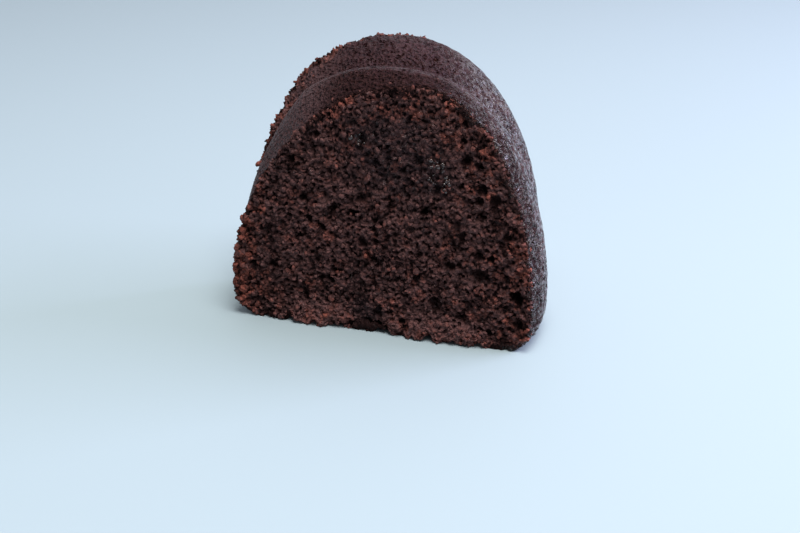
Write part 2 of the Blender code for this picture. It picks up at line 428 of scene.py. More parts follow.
def even_courses():
    """The length of the closed front outline up to each of its sampled courses, as shares of the whole."""
    courses = np.linspace(0, 5, 5 * CURVE_SAMPLES + 1)
    reach, height = plain_section(np.minimum(courses, LAST_COURSE), 0.0)
    lengths = np.concatenate([[0], np.cumsum(np.hypot(np.diff(reach), np.diff(height)))])
    return courses, lengths / lengths[-1]


COURSES, COURSE_SHARES = even_courses()


def section_at(share, angle, inset=0.0):
    """A point of the fluted section, at a share of the way round it, as (distance outwards, height)."""
    step = 0.5 / CURVE_SAMPLES
    course = np.interp(share % 1, COURSE_SHARES, COURSES)
    course = np.clip(course, 0, LAST_COURSE)
    reach, height = plain_section(course, angle)
    before = plain_section(np.maximum(course - step, 0), angle)
    after = plain_section(np.minimum(course + step, LAST_COURSE), angle)
    along = after[0] - before[0], after[1] - before[1]
    length = np.maximum(np.hypot(*along), 1e-9)
    out = flute_rise(angle, reach, height) - inset
    return reach - along[1] / length * out, height + along[0] / length * out


def turned(reach, height, angle):
    """Points of the section turned about the ring's axis, in the slice's frame. The foot is level."""
    turn = np.radians(angle)
    x = AXIS_X + (RING_RADIUS + reach) * np.cos(turn)
    y = AXIS_Y + (RING_RADIUS + reach) * np.sin(turn)
    z = np.maximum(height - FOOT_TRIM, 0) + 0 * turn
    return np.stack([x, y, z], axis=-1)


def cut_grid(angle, steps):
    """A square grid of points mapped onto a cut. Its border follows the outline at even steps."""
    line = np.linspace(-1, 1, steps + 1)
    across, up = np.meshgrid(line, line, indexing="ij")
    wide = np.abs(across) > np.abs(up)
    with np.errstate(divide="ignore", invalid="ignore"):
        radius = np.where(wide, across, up)
        way = np.where(wide, np.pi / 4 * up / across, np.pi / 2 - np.pi / 4 * across / up)
    way = np.where((across == 0) & (up == 0), 0, way)
    x, y = radius * np.cos(way), radius * np.sin(way)
    share = -(np.arctan2(y, x) + 3 * np.pi / 4) / (2 * np.pi)
    reach, height = section_at(share, angle + 0 * share, RIM_INSET)
    far = np.hypot(x, y)
    reach = CUT_MIDDLE[0] + far * (reach - CUT_MIDDLE[0])
    height = CUT_MIDDLE[1] + far * (height - CUT_MIDDLE[1])
    return turned(reach, height, angle)


def border_of_grid(steps):
    """Indices of the grid's border points, from the inner foot over the crown and back along the foot."""
    side = np.arange(steps)
    wide = steps + 1
    left, top = side, side * wide + steps
    right, foot = steps * wide + steps - side, (steps - side) * wide
    return np.concatenate([left, top, right, foot])


def torn_width(across, at_front):
    """How wide the crust is torn off along a cut. At the rear it is torn off only towards the hole."""
    towards_hole = blend(1 - (across - TORN_UP_TO) / TORN_SOFTNESS)
    rear = FRONT_TORN_WIDTH + (REAR_TORN_WIDTH - FRONT_TORN_WIDTH) * towards_hole
    return FRONT_TORN_WIDTH + 0 * across if at_front else rear


def strip(near, far):
    """A closed strip of quads between two rings of points."""
    return np.stack([near, np.roll(near, -1), np.roll(far, -1), far], -1)


def crumb_half(name, from_angle, to_angle, steps, fine_rows):
    """Half of the crumb: a cut as a fine grid, its side in rows, and a flat end inside the slice.

    The side lies shallow where the crust is torn off, and sinks under the crust behind that.
    """
    grid = cut_grid(from_angle, steps)
    count = (steps + 1) ** 2
    index = np.arange(count).reshape(steps + 1, steps + 1)
    quads = np.stack([index[:-1, :-1], index[1:, :-1], index[1:, 1:], index[:-1, 1:]], -1).reshape(-1, 4)
    border = border_of_grid(steps)
    share = np.arange(len(border)) / len(border)
    way = 1 if to_angle > from_angle else -1
    fine = from_angle + way * FINE_ROW_ANGLE * np.arange(1, fine_rows + 1)
    angles = np.concatenate([fine, np.linspace(fine[-1], to_angle, COARSE_ROWS + 1)[1:]])
    rows = [border]
    points = [grid.reshape(-1, 3)]
    for row, angle in enumerate(angles):
        reach, _ = section_at(share, angle + 0 * share)
        to_cut = np.radians(abs(angle - from_angle)) * (RING_RADIUS + reach)
        inset = RIM_INSET + (CRUST_INSET - RIM_INSET) * blend(to_cut / torn_width(reach, way > 0) - 1)
        if row >= fine_rows:
            inset = DEEP_INSET + 0 * share
        reach, height = section_at(share, angle + 0 * share, inset)
        rows.append(count + np.arange(len(border)))
        points.append(turned(reach, height, angle))
        count += len(border)
    side = np.concatenate([strip(near, far) for near, far in zip(rows, rows[1:])])
    if way < 0:
        quads, side = quads[:, ::-1], side[:, ::-1]
    end = rows[-1] if way > 0 else rows[-1][::-1]
    mesh = bpy.data.meshes.new(name)
    mesh.from_pydata(np.concatenate(points).tolist(), [], quads.tolist() + side.tolist() + [end.tolist()])
    return add_object(name, mesh)


def points_of(piece):
    places = np.empty(len(piece.data.vertices) * 3, np.float32)
    piece.data.vertices.foreach_get("co", places)
    return places.reshape(-1, 3).astype(float)


def paint(piece, name, values):
    """Stores a number for each point of the piece, for its nodes and its material to read."""
    layer = piece.data.attributes.new(name, "FLOAT", "POINT")
    layer.data.foreach_set("value", np.ascontiguousarray(values, np.float32))


def distances_to_cuts(places):
    """How far points lie behind the front cut, and in front of the rear cut."""
    turn = math.radians(WEDGE_ANGLE)
    to_front = places[:, 1] - AXIS_Y
    to_rear = (places[:, 0] - AXIS_X) * math.sin(turn) - (places[:, 1] - AXIS_Y) * math.cos(turn)
    return to_front, to_rear


def outwards_of(places):
    """How far points lie outwards of the section's middle, at any angle round the ring."""
    return np.hypot(places[:, 0] - AXIS_X, places[:, 1] - AXIS_Y) - RING_RADIUS


def on_front_cut(places):
    """Where points lie on the front cut: the distance outwards of its middle, and the height."""
    return places[:, 0] - AXIS_X - RING_RADIUS, places[:, 2]


def away_from(places, middle, level, half_width, half_height):
    """How far points of the front cut lie from a spot's middle, in the spot's half sizes."""
    across, height = on_front_cut(places)
    return np.hypot((across - middle) / half_width, (height - level) / half_height)


def front_marks(places):
    """How deep the marks go into the front cut at each point."""
    across, height = on_front_cut(places)
    depth = np.zeros(len(places))
    marks = [(*LARGE_HOLE, LARGE_HOLE_DEPTH), (*FOOT_NOTCH, FOOT_NOTCH_DEPTH)]
    marks += [(*pit, SMALL_PIT_DEPTH) for pit in SMALL_PITS]
    draws = np.random.default_rng(MARK_SEED)
    for mark_across, mark_height, radius, mark_depth in marks:
        right, up = across - mark_across, height - mark_height
        away = np.hypot(right, up) / radius
        for lobes in MARK_LOBES:
            turn = lobes * np.arctan2(up, right) + MARK_TURN * draws.random()
            away = away * (1 + MARK_UNEVENNESS * np.sin(turn))
        depth = np.maximum(depth, mark_depth * blend(MARK_STEEPNESS * (1 - away)))
    return depth


def soaked_share(places):
    share = np.zeros(len(places))
    for spot in SOAKED:
        share = np.maximum(share, blend(SOAKED_REACH - away_from(places, *spot)))
    return share


def glossy_share(places):
    share = np.zeros(len(places))
    for middle, level, radius in GLOSSY:
        share = np.maximum(share, blend(GLOSSY_REACH - away_from(places, middle, level, radius, radius)))
    return share


def waves_along(across, waves):
    return sum(height * np.sin(across / length + phase) for length, phase, height in waves)


def foot_gaps(places):
    """How far the crumb is torn back just above the foot, in an uneven row of notches, less how far
    the foot swells out."""
    across, height = on_front_cut(places)
    wave = waves_along(across, FOOT_GAP_WAVES)
    top = FOOT_GAP_HEIGHT * (1 + FOOT_GAP_SWING * wave)
    opening = blend(FOOT_GAP_OPEN[0] + FOOT_GAP_OPEN[1] * wave)
    gaps = FOOT_GAP_DEPTH * opening * blend(FOOT_GAP_FADE - height / top)
    lobes = np.zeros(len(places))
    for middle, half_width, share in FOOT_SWELLS:
        near = FOOT_SWELL_FADE - FOOT_SWELL_FADE * np.abs(across - middle) / half_width
        lobes = np.maximum(lobes, share * blend(near))
    return gaps - FOOT_BULGE * lobes * blend(1 - height / FOOT_BULGE_HEIGHT)


def foot_lift(places):
    """How far the torn foot edge of the front cut stands clear of the table, in uneven lobes."""
    across, height = on_front_cut(places)
    wave = waves_along(across, FOOT_LIFT_WAVES)
    opening = blend(FOOT_LIFT_OPEN[0] + FOOT_LIFT_OPEN[1] * wave)
    return FOOT_LIFT * opening * blend(1 - height / FOOT_LIFT_HEIGHT)


def crown_share(places):
    return blend((places[:, 2] - CROWN_FROM) / CROWN_EASE)


def dry_share(places):
    """The crumb is drier and redder near the foot, at both sides and along the rims."""
    across, height = on_front_cut(places)
    low = blend(1 - height / DRY_LOW_UP_TO)
    inner = blend(1 - (across + SECTION_WIDTH / 2) / DRY_INNER_EASE)
    outer = blend((across - DRY_OUTER_FROM) / DRY_OUTER_EASE)
    share = DRY_MIDDLE + DRY_LOW * low + DRY_INNER * inner + DRY_OUTER * outer
    share += DRY_CROWN * crown_share(places)
    for middle, level, radius in RED_CLUSTERS:
        away = away_from(places, middle, level, radius, radius)
        share += RED_CLUSTER_SHARE * blend(RED_CLUSTER_REACH - away)
    return np.clip(share, 0, 1)


# Painted light near the crown and painted shade near the foot of both cuts.
def painted_light_and_shade_of(places):
    low = blend(1 - places[:, 2] / LOW_UP_TO)
    return CROWN_PAINTED_LIGHT * crown_share(places) + LOW_PAINTED_SHADE * low


def feed(tree, socket, value):
    if isinstance(value, bpy.types.NodeSocket):
        tree.links.new(value, socket)
    else:
        socket.default_value = value


def node(tree, kind, inputs=(), **settings):
    """A node with these settings. Each of its named inputs takes a value or another node's output."""
    made = tree.nodes.new(kind)
    for name, value in settings.items():
        setattr(made, name, value)
    for name, value in dict(inputs).items():
        feed(tree, made.inputs[name], value)
    return made


def sum_of(tree, operation, *values):
    """A Math node: its first output."""
    made = tree.nodes.new("ShaderNodeMath")
    made.operation = operation
    for socket, value in zip(made.inputs, values):
        feed(tree, socket, value)
    return made.outputs[0]


def move_of(tree, operation, *values):
    """A Vector Math node: its vector output."""
    made = tree.nodes.new("ShaderNodeVectorMath")
    made.operation = operation
    for index, value in enumerate(values):
        socket = made.inputs["Scale"] if operation == "SCALE" and index == 1 else made.inputs[index]
        feed(tree, socket, value)
    return made.outputs[0]


def ramp_of(tree, value, low, high, to_low=0.0, to_high=1.0, smooth=True):
    """A Map Range node that stays within its limits."""
    made = node(
        tree, "ShaderNodeMapRange",
        {"Value": value, "From Min": low, "From Max": high, "To Min": to_low, "To Max": to_high},
        interpolation_type="SMOOTHSTEP" if smooth else "LINEAR",
    )
    return made.outputs["Result"]


def new_tree(name, inputs, outputs=(("Geometry", "NodeSocketGeometry"),), kind="GeometryNodeTree"):
    """An empty node tree with named inputs and outputs, and its two end nodes."""
    tree = bpy.data.node_groups.new(name, kind)
    for title, form in inputs:
        tree.interface.new_socket(title, in_out="INPUT", socket_type=form)
    for title, form in outputs:
        tree.interface.new_socket(title, in_out="OUTPUT", socket_type=form)
    return tree, tree.nodes.new("NodeGroupInput").outputs, tree.nodes.new("NodeGroupOutput").inputs


def set_input(modifier, title, value):
    for item in modifier.node_group.interface.items_tree:
        if item.item_type == "SOCKET" and item.in_out == "INPUT" and item.name == title:
            modifier[item.identifier] = value


def bake_nodes(piece, tree, **values):
    """Runs a node tree on the piece, and keeps what it makes as the piece's plain mesh."""
    modifier = piece.modifiers.new(tree.name, "NODES")
    modifier.node_group = tree
    for title, value in values.items():
        set_input(modifier, title.replace("_", " "), value)
    bpy.context.view_layer.update()
    graph = bpy.context.evaluated_depsgraph_get()
    made = bpy.data.meshes.new_from_object(piece.evaluated_get(graph))
    made.name = piece.name
    piece.modifiers.clear()
    piece.data = made


def spread_of(tree, place, size, detail=2.0):
    """Noise that runs from about -1 to 1, as a vector."""
    noise = node(tree, "ShaderNodeTexNoise", {"Vector": place, "Scale": 1 / size, "Detail": detail})
    centred = move_of(tree, "SUBTRACT", noise.outputs["Color"], (0.5, 0.5, 0.5))
    return move_of(tree, "SCALE", centred, 2.0)


def level_of(tree, place, size, detail=2.0):
    """Noise that runs from about -1 to 1, as a number."""
    noise = node(tree, "ShaderNodeTexNoise", {"Vector": place, "Scale": 1 / size, "Detail": detail})
    return sum_of(tree, "MULTIPLY_ADD", noise.outputs["Fac"], 2.0, -1.0)


def cells_of(tree, place, size):
    """A cell pattern: the distance to the nearest middle, in cells, and a colour for each cell."""
    cells = node(tree, "ShaderNodeTexVoronoi", {"Vector": place, "Scale": 1 / size})
    return cells.outputs["Distance"], cells.outputs["Color"]


def swayed_place(tree, place, size, reach):
    """The place, moved a little by noise, so that a pattern that reads it looks less regular."""
    return move_of(tree, "ADD", place, move_of(tree, "SCALE", spread_of(tree, place, size), reach))


def add_weighted(tree, total, *parts):
    """The total plus each part's value times its weight."""
    for value, weight in parts:
        total = sum_of(tree, "MULTIPLY_ADD", value, weight, total)
    return total


def mix_of(tree, share, first, second):
    """A colour mix: its result."""
    made = node(tree, "ShaderNodeMix", data_type="RGBA")
    for socket, value in zip((made.inputs[0], made.inputs[6], made.inputs[7]), (share, first, second)):
        feed(tree, socket, value)
    return made.outputs[2]


def attribute_of(tree, name):
    return node(tree, "ShaderNodeAttribute", attribute_name=name).outputs["Fac"]


def named(tree, name):
    return node(tree, "GeometryNodeInputNamedAttribute", {"Name": name}).outputs["Attribute"]


def keep_value(tree, geometry, name, value, domain="POINT"):
    """Stores a value under a name, for materials to read."""
    inputs = {"Geometry": geometry, "Name": name, "Value": value}
    return node(tree, "GeometryNodeStoreNamedAttribute", inputs, domain=domain).outputs[0]


def finish_tree(tree, given, result, geometry, moved, lift=0.0):
    """Moves the points, but not below the table, shades them smooth and sets the material."""
    parts = node(tree, "ShaderNodeSeparateXYZ", {"Vector": moved}).outputs
    height = sum_of(tree, "ADD", sum_of(tree, "MAXIMUM", parts["Z"], 0.0), lift)
    standing = node(tree, "ShaderNodeCombineXYZ", {"X": parts["X"], "Y": parts["Y"], "Z": height})
    shaped = node(tree, "GeometryNodeSetPosition", {"Geometry": geometry, "Position": standing.outputs[0]})
    smooth = node(tree, "GeometryNodeSetShadeSmooth", {"Geometry": shaped.outputs[0]})
    coated = node(tree, "GeometryNodeSetMaterial",
                  {"Geometry": smooth.outputs[0], "Material": given["Material"]})
    feed(tree, result["Geometry"], coated.outputs[0])


def crumb_relief_tree():
    """Grains, clumps, bubbles and waves, all along the surface's normal, and a little sideways sway."""
    inputs = [("Geometry", "NodeSocketGeometry"), ("Grain Height", "NodeSocketFloat")]
    inputs += [("Bubble Depth", "NodeSocketFloat"), ("Material", "NodeSocketMaterial")]
    tree, given, result = new_tree("crumb relief", inputs)
    place = tree.nodes.new("GeometryNodeInputPosition").outputs[0]
    normal = tree.nodes.new("GeometryNodeInputNormal").outputs["Normal"]
    warped = swayed_place(tree, place, WARP_SIZE, WARP_REACH)
    pore, _ = cells_of(tree, warped, PORE_SIZE)
    grain, _ = cells_of(tree, warped, GRAIN_SIZE)
    fine, _ = cells_of(tree, warped, FINE_GRAIN_SIZE)
    bubble, chance = cells_of(tree, warped, BUBBLE_SPACING)
    draw = node(tree, "ShaderNodeSeparateXYZ", {"Vector": chance}).outputs["X"]
    radius = sum_of(tree, "MULTIPLY_ADD", draw, BUBBLE_RADIUS / BUBBLE_SHARE, BUBBLE_RADIUS / 2)
    inside = sum_of(tree, "DIVIDE", sum_of(tree, "MULTIPLY", bubble, BUBBLE_SPACING), radius)
    chosen = sum_of(tree, "LESS_THAN", draw, BUBBLE_SHARE)
    open_bubble = sum_of(tree, "MULTIPLY", ramp_of(tree, inside, *BUBBLE_WALL), chosen)
    grain = ramp_of(tree, grain, GRAIN_REACH, 0.0, smooth=False)
    fine = ramp_of(tree, fine, GRAIN_REACH, 0.0, smooth=False)
    grain_rise = sum_of(tree, "MULTIPLY", grain, given["Grain Height"])
    fine_rise = sum_of(tree, "MULTIPLY", fine, FINE_GRAIN_HEIGHT)
    wall_rise = sum_of(tree, "MULTIPLY_ADD", ramp_of(tree, pore, *PORE_WALL), PORE_DEPTH, -PORE_DEPTH / 2)
    pressed = ramp_of(tree, named(tree, "soaked"), 0.0, 1.0, 1.0, SOAKED_PRESS)
    texture = sum_of(tree, "ADD", sum_of(tree, "ADD", grain_rise, fine_rise), wall_rise)
    texture = sum_of(tree, "MULTIPLY", texture, pressed)
    clump = sum_of(tree, "MULTIPLY", level_of(tree, place, CLUMP_SIZE, 1.0), CLUMP_HEIGHT)
    texture = sum_of(tree, "ADD", texture, clump)
    sunk = sum_of(tree, "MULTIPLY", open_bubble, given["Bubble Depth"])
    texture = sum_of(tree, "SUBTRACT", texture, sunk)
    wave = sum_of(tree, "MULTIPLY", level_of(tree, place, WAVE_SIZE, 0.0), WAVE_HEIGHT)
    bare, mark = named(tree, "bare"), named(tree, "mark")
    level = sum_of(tree, "SUBTRACT", sum_of(tree, "ADD", texture, wave), RELIEF_DROP)
    level = sum_of(tree, "SUBTRACT", sum_of(tree, "MULTIPLY", level, bare), mark)
    sway = sum_of(tree, "MULTIPLY", bare, SWAY)
    sway = move_of(tree, "SCALE", spread_of(tree, warped, GRAIN_SIZE), sway)
    moved = move_of(tree, "ADD", move_of(tree, "SCALE", normal, level), sway)
    moved = move_of(tree, "ADD", place, moved)
    relief = sum_of(tree, "DIVIDE", sum_of(tree, "SUBTRACT", texture, mark), FULL_RELIEF)
    kept = keep_value(tree, given["Geometry"], "relief", relief)
    finish_tree(tree, given, result, kept, moved, named(tree, "lift"))
    return tree


def crumb_colour_group():
    """Colour, roughness, wetness and bump of chocolate crumb. Lumps are redder and lighter than the
    gaps between them; the gaps and holes, low in the relief, get a nearly black painted shade."""
    inputs = [("Relief", "NodeSocketFloat"), ("Soaked", "NodeSocketFloat"), ("Dry", "NodeSocketFloat")]
    inputs += [("Tone_And_Painted_Light", "NodeSocketFloat"), ("Glossy", "NodeSocketFloat")]
    inputs += [("Shaded Gap", "NodeSocketColor"), ("Lump", "NodeSocketColor"), ("Red Lump", "NodeSocketColor")]
    inputs += [("Syrup", "NodeSocketColor")]
    outputs = [("Color", "NodeSocketColor"), ("Roughness", "NodeSocketFloat")]
    outputs += [("Height", "NodeSocketFloat"), ("Wet", "NodeSocketFloat")]
    tree, given, result = new_tree("crumb colour", inputs, outputs, "ShaderNodeTree")
    place = tree.nodes.new("ShaderNodeTexCoord").outputs["Object"]
    patch = level_of(tree, place, PATCH_SIZE, 2.0)
    speck = level_of(tree, place, SPECK_SIZE, 3.0)
    broad = level_of(tree, place, BROAD_SIZE, 1.0)
    _, draw = cells_of(tree, swayed_place(tree, place, *BIT_SWAY), BIT_SIZE)
    bit = node(tree, "ShaderNodeSeparateColor", {"Color": draw}).outputs[0]
    bit = sum_of(tree, "MULTIPLY_ADD", bit, 2.0, -1.0)
    # The tone input brings the cuts' painted light and shade into the lumps' light and redness.
    light = (speck, SPECK_LIGHT), (broad, BROAD_LIGHT), (given["Tone_And_Painted_Light"], TONE_AND_PAINTED_LIGHT_LIFT)
    lit = ramp_of(tree, add_weighted(tree, given["Relief"], *light), *LIT_RANGE)
    redness = (patch, PATCH_RED), (speck, SPECK_RED), (bit, BIT_RED), (given["Tone_And_Painted_Light"], TONE_AND_PAINTED_LIGHT_RED)
    red = ramp_of(tree, add_weighted(tree, given["Dry"], *redness), *RED_RANGE)
    # Painted shade: where the relief is low, the lump colour gives way to the nearly black gap colour.
    colour = mix_of(tree, lit, given["Shaded Gap"], mix_of(tree, red, given["Lump"], given["Red Lump"]))
    colour = mix_of(tree, sum_of(tree, "MULTIPLY", given["Soaked"], SOAKED_DARKENING), colour, given["Syrup"])
    glint = ramp_of(tree, level_of(tree, place, GLINT_SIZE, 2.0), *GLINT_RANGE)
    moist = add_weighted(tree, MOIST, (given["Soaked"], SOAKED_MOIST), (given["Glossy"], 1.0))
    dull = add_weighted(tree, CRUMB_ROUGHNESS, (given["Soaked"], SOAKED_ROUGHNESS), (speck, SPECK_ROUGHNESS))
    feed(tree, result["Color"], colour)
    feed(tree, result["Roughness"], dull)
    feed(tree, result["Wet"], sum_of(tree, "MULTIPLY", glint, moist))
    feed(tree, result["Height"], level_of(tree, place, CRUMB_BUMP_SIZE, 3.0))
    return tree


def coat_surface(tree, shader, colour, roughness, height, distance, wet):
    """Wires a surface and the bumpy wet film that lies on it."""
    bump = node(tree, "ShaderNodeBump", {"Height": height, "Distance": distance, "Strength": 1.0})
    feed(tree, shader.inputs["Base Color"], colour)
    feed(tree, shader.inputs["Roughness"], roughness)
    feed(tree, shader.inputs["Normal"], bump.outputs[0])
    feed(tree, shader.inputs["Coat Normal"], bump.outputs[0])
    feed(tree, shader.inputs["Coat Weight"], wet)


def crumb_material():
    material, tree, shader = new_material("chocolate crumb")
    group = node(tree, "ShaderNodeGroup", node_tree=crumb_colour_group())
    for title in ("Relief", "Soaked", "Dry", "Tone_And_Painted_Light", "Glossy"):
        feed(tree, group.inputs[title], attribute_of(tree, title.lower()))
    feed(tree, group.inputs["Shaded Gap"], SHADED_GAP_COLOUR)
    feed(tree, group.inputs["Lump"], LUMP_COLOUR)
    feed(tree, group.inputs["Red Lump"], RED_LUMP_COLOUR)
    feed(tree, group.inputs["Syrup"], SYRUP_COLOUR)
    made = group.outputs
    coat_surface(tree, shader, made["Color"], made["Roughness"], made["Height"], CRUMB_BUMP, made["Wet"])
    shader.inputs["Coat Roughness"].default_value = CRUMB_COAT_ROUGHNESS
    shader.inputs["Coat IOR"].default_value = CRUMB_COAT_IOR
    shader.inputs["Specular IOR Level"].default_value = CRUMB_SHINE
    return material


CRUMB = crumb_material()
CRUMB_RELIEF = crumb_relief_tree()


def make_crumb_half(name, from_angle, to_angle, steps, fine_rows):
    """A half of the crumb with its relief. Only the front cut has marks, soaked places and syrup."""
    piece = crumb_half(name, from_angle, to_angle, steps, fine_rows)
    places = points_of(piece)
    to_front, to_rear = distances_to_cuts(places)
    at_front = from_angle == 0
    to_cut = to_front if at_front else to_rear
    on_front = at_front * blend(1 - to_front / MARK_REACH)
    paint(piece, "bare", blend(2 - to_cut / torn_width(outwards_of(places), at_front)))
    paint(piece, "mark", (front_marks(places) + foot_gaps(places)) * on_front)
    paint(piece, "lift", foot_lift(places) * on_front)
    paint(piece, "glossy", glossy_share(places) * on_front)
    paint(piece, "soaked", soaked_share(places) * on_front)
    paint(piece, "dry", dry_share(places))
    # The cuts' painted light and shade, stored under the same name as the bits' random tone.
    paint(piece, "tone_and_painted_light", painted_light_and_shade_of(places))
    bake_nodes(piece, CRUMB_RELIEF, Grain_Height=GRAIN_HEIGHT, Bubble_Depth=BUBBLE_DEPTH, Material=CRUMB)
    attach(piece, "root")
    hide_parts("cake_slice")
    return piece


crumb_front = make_crumb_half("crumb_front", 0.0, MIDDLE_ANGLE, FRONT_CUT_STEPS, FRONT_FINE_ROWS)
crumb_back = make_crumb_half("crumb_back", WEDGE_ANGLE, MIDDLE_ANGLE, REAR_CUT_STEPS, REAR_FINE_ROWS)

# The crust: the thin dark skin that baked against the fluted pan. It is smooth with a dull sheen and
# fine pores. The knife tore it a little at the front cut and more at the rear cut.
CRUST_THICKNESS = 0.0024
CRUST_STEPS = 600
CRUST_FOOT_STEPS = 16
CRUST_ROWS = 130
CRUST_INNER_ROWS = 28
# The least and the most that is torn off at a cut, and how much more at the foot.
FRONT_TEAR = (0.0000, 0.0011)
REAR_TEAR = (0.0014, 0.0056)
FOOT_TEAR = 0.0030
TEAR_SIZE = 0.0045
FRONT_TEAR_SEED = 5
REAR_TEAR_SEED = 9
# The torn edge is a sum of waves: how many times the first wave's count, and the weight of each. The
# first wave is FIRST_WAVE_TEARS tears long.
TEAR_WAVES = ((1, 1.0), (2.3, 0.8), (5.1, 0.6), (11.7, 0.45))
TEAR_WAVES_HEIGHT = 1.6
FIRST_WAVE_TEARS = 6
OUTLINE_LENGTH = 0.303

# The relief of the skin. Pores are the dips between the cells of the peel.
SKIN_WARP_REACH = 0.0004
PEEL_SIZE = 0.0017
PEEL_HEIGHT = 0.00055
PEEL_WALL = (0.08, 0.50)
PEEL_DROP = 0.7
CRUST_BUMP_SIZE = 0.0028
CRUST_BUMP_HEIGHT = 0.00025
CRUST_PIT_SPACING = 0.0085
CRUST_PIT_RADIUS = 0.0013
CRUST_PIT_DEPTH = 0.0010
CRUST_PIT_FLOOR = 0.4
CRUST_PIT_SHARE = 0.20
ROUGH_SIZE = 0.0014
ROUGH_WALL = (0.70, 0.10)
ROUGH_HEIGHT = 0.0006

# Where the skin changes, as distances outwards of the section's middle, and over what width. In front
# of the first crest it is rough, towards the outer wall glazed, and at the hole side smooth. The
# painted highlight along the crest fades over the width given below, in millimetres from the crest.
ROUGH_FROM = -0.026
ROUGH_EASE = 0.018
ROUGH_SOFTNESS = 0.0030
ROUGH_AT_CREST = 0.6
GLAZED_FROM = 0.013
GLAZED_EASE = 0.020
SMOOTH_UP_TO = -0.030
SMOOTH_EASE = 0.028
SMOOTH_RELIEF = 0.4
GLAZED_RELIEF = 0.1
# The painted highlight on the first crest: the height it starts from, its ease, its width and its breaks.
CREST_HIGHLIGHT_ABOVE = 0.050
CREST_HIGHLIGHT_EASE = 0.020
CREST_HIGHLIGHT_WIDTH = (0.42, 0.08)
HIGHLIGHT_BREAK_RANGE = (-0.20, 0.35)

# Pairs run from the darker to the lighter colour.
SKIN_COLOURS = ((0.021, 0.0088, 0.0105, 1.0), (0.038, 0.0170, 0.0195, 1.0))
SKIN_SPECK_COLOUR = (0.098, 0.044, 0.042, 1.0)
# Painted shade in the pores: the dips between the peel's cells are painted darker.
PORE_SHADE_COLOUR = (0.016, 0.0040, 0.0040, 1.0)
# Painted shade on the rough stretch: nearly black in the dips of its grain bumps, lighter on their rims.
ROUGH_SHADED_COLOURS = ((0.005, 0.0016, 0.0016, 1.0), (0.022, 0.0090, 0.0095, 1.0))
ROUGH_SPECK_COLOUR = (0.095, 0.040, 0.036, 1.0)
PIT_COLOURS = ((0.010, 0.003, 0.003, 1.0), (0.070, 0.024, 0.018, 1.0))
SMOOTH_COLOUR = (0.090, 0.049, 0.050, 1.0)
GLAZED_COLOURS = ((0.014, 0.0050, 0.0060, 1.0), (0.048, 0.0170, 0.0170, 1.0))
# The painted highlight's colour on the first crest.
CREST_HIGHLIGHT_COLOUR = (0.165, 0.078, 0.064, 1.0)
EDGE_COLOURS = ((0.010, 0.003, 0.003, 1.0), (0.110, 0.045, 0.040, 1.0))
# How far each of those colours covers what lies under it.
SKIN_SPECK_SHARE = 0.45
ROUGH_SPECK_SHARE = 0.75
ROUGH_SHARE = 0.8
SMOOTH_SHARE = 0.6
GLAZED_SHARE = 0.8
CREST_HIGHLIGHT_SHARE = 0.6
# The patterns of the skin: their sizes, and between which levels each runs from none to full.
SKIN_PATCH_SIZE = 0.009
SKIN_PATCH_RANGE = (-0.5, 0.6)
SKIN_SPECK_SIZE = 0.0010
SKIN_SPECK_RANGE = (-0.3, 0.8)
SKIN_SWAY = (0.0012, 0.0006)
SKIN_GRAIN_SIZE = 0.0011
SKIN_GRAIN_RANGE = (0.10, 0.55)
ROUGH_GRAIN_SHADE_RANGE = (0.2, 1.0)
GLAZE_GRAIN_SIZE = 0.0019
GLAZE_GRAIN_RANGE = (0.8, 0.0)
PORE_SHADE_RANGE = (0.75, 0.20)
SMOOTH_RANGE = (0.9, 0.5)
HIGHLIGHT_BREAK_SIZE = 0.0040
EDGE_SIZE = 0.0013
EDGE_RANGE = (-0.3, 0.5)
EDGE_TURN = (0.98, 0.80)
# How much each pattern adds to the skin's bumps, to its roughness and to its gloss.
GLAZE_BUMP = 0.8
FINE_BUMP = 0.6
EDGE_BUMP = 2.0
ROUGH_BUMP = 1.2
SKIN_ROUGHNESS = 0.45
PATCH_ROUGHNESS = 0.12
ROUGH_ROUGHNESS = 0.3
SKIN_GLOSS = 0.05
GLAZED_GLOSS = 0.95
ROUGH_GLOSS = -0.06
GLOSS_SIZE = 0.0014
GLOSS_BREAKS = (-0.20, 0.20, 0.10, 1.0)
CRUST_BUMP = 0.00100
CRUST_SHINE = 0.06
CRUST_COAT_ROUGHNESS = 0.09
CRUST_COAT_IOR = 1.7


def ragged(share, spread, seed):
    """A torn edge: a sum of waves round the outline, between the two limits of its spread."""
    draws = np.random.default_rng(seed)
    wave = np.zeros_like(share)
    for times, weight in TEAR_WAVES:
        count = OUTLINE_LENGTH / TEAR_SIZE / FIRST_WAVE_TEARS * times
        wave += weight * np.sin(2 * np.pi * (round(count) * share + draws.random()))
    level = 0.5 + 0.5 * np.clip(wave / TEAR_WAVES_HEIGHT, -1, 1)
    return spread[0] + (spread[1] - spread[0]) * level


def crust_wall(share, start, stop, inset, row_count):
    """The rows of points of a wall, each row closed round the outline, from the front to the rear."""
    rows = []
    for row in range(row_count + 1):
        angle = start + (stop - start) * row / row_count
        across, height = section_at(share, angle, inset)
        place = turned(across, height, angle)
        if inset:
            place[:, 2] = np.maximum(place[:, 2], CRUST_THICKNESS)
        rows.append(place)
    return rows


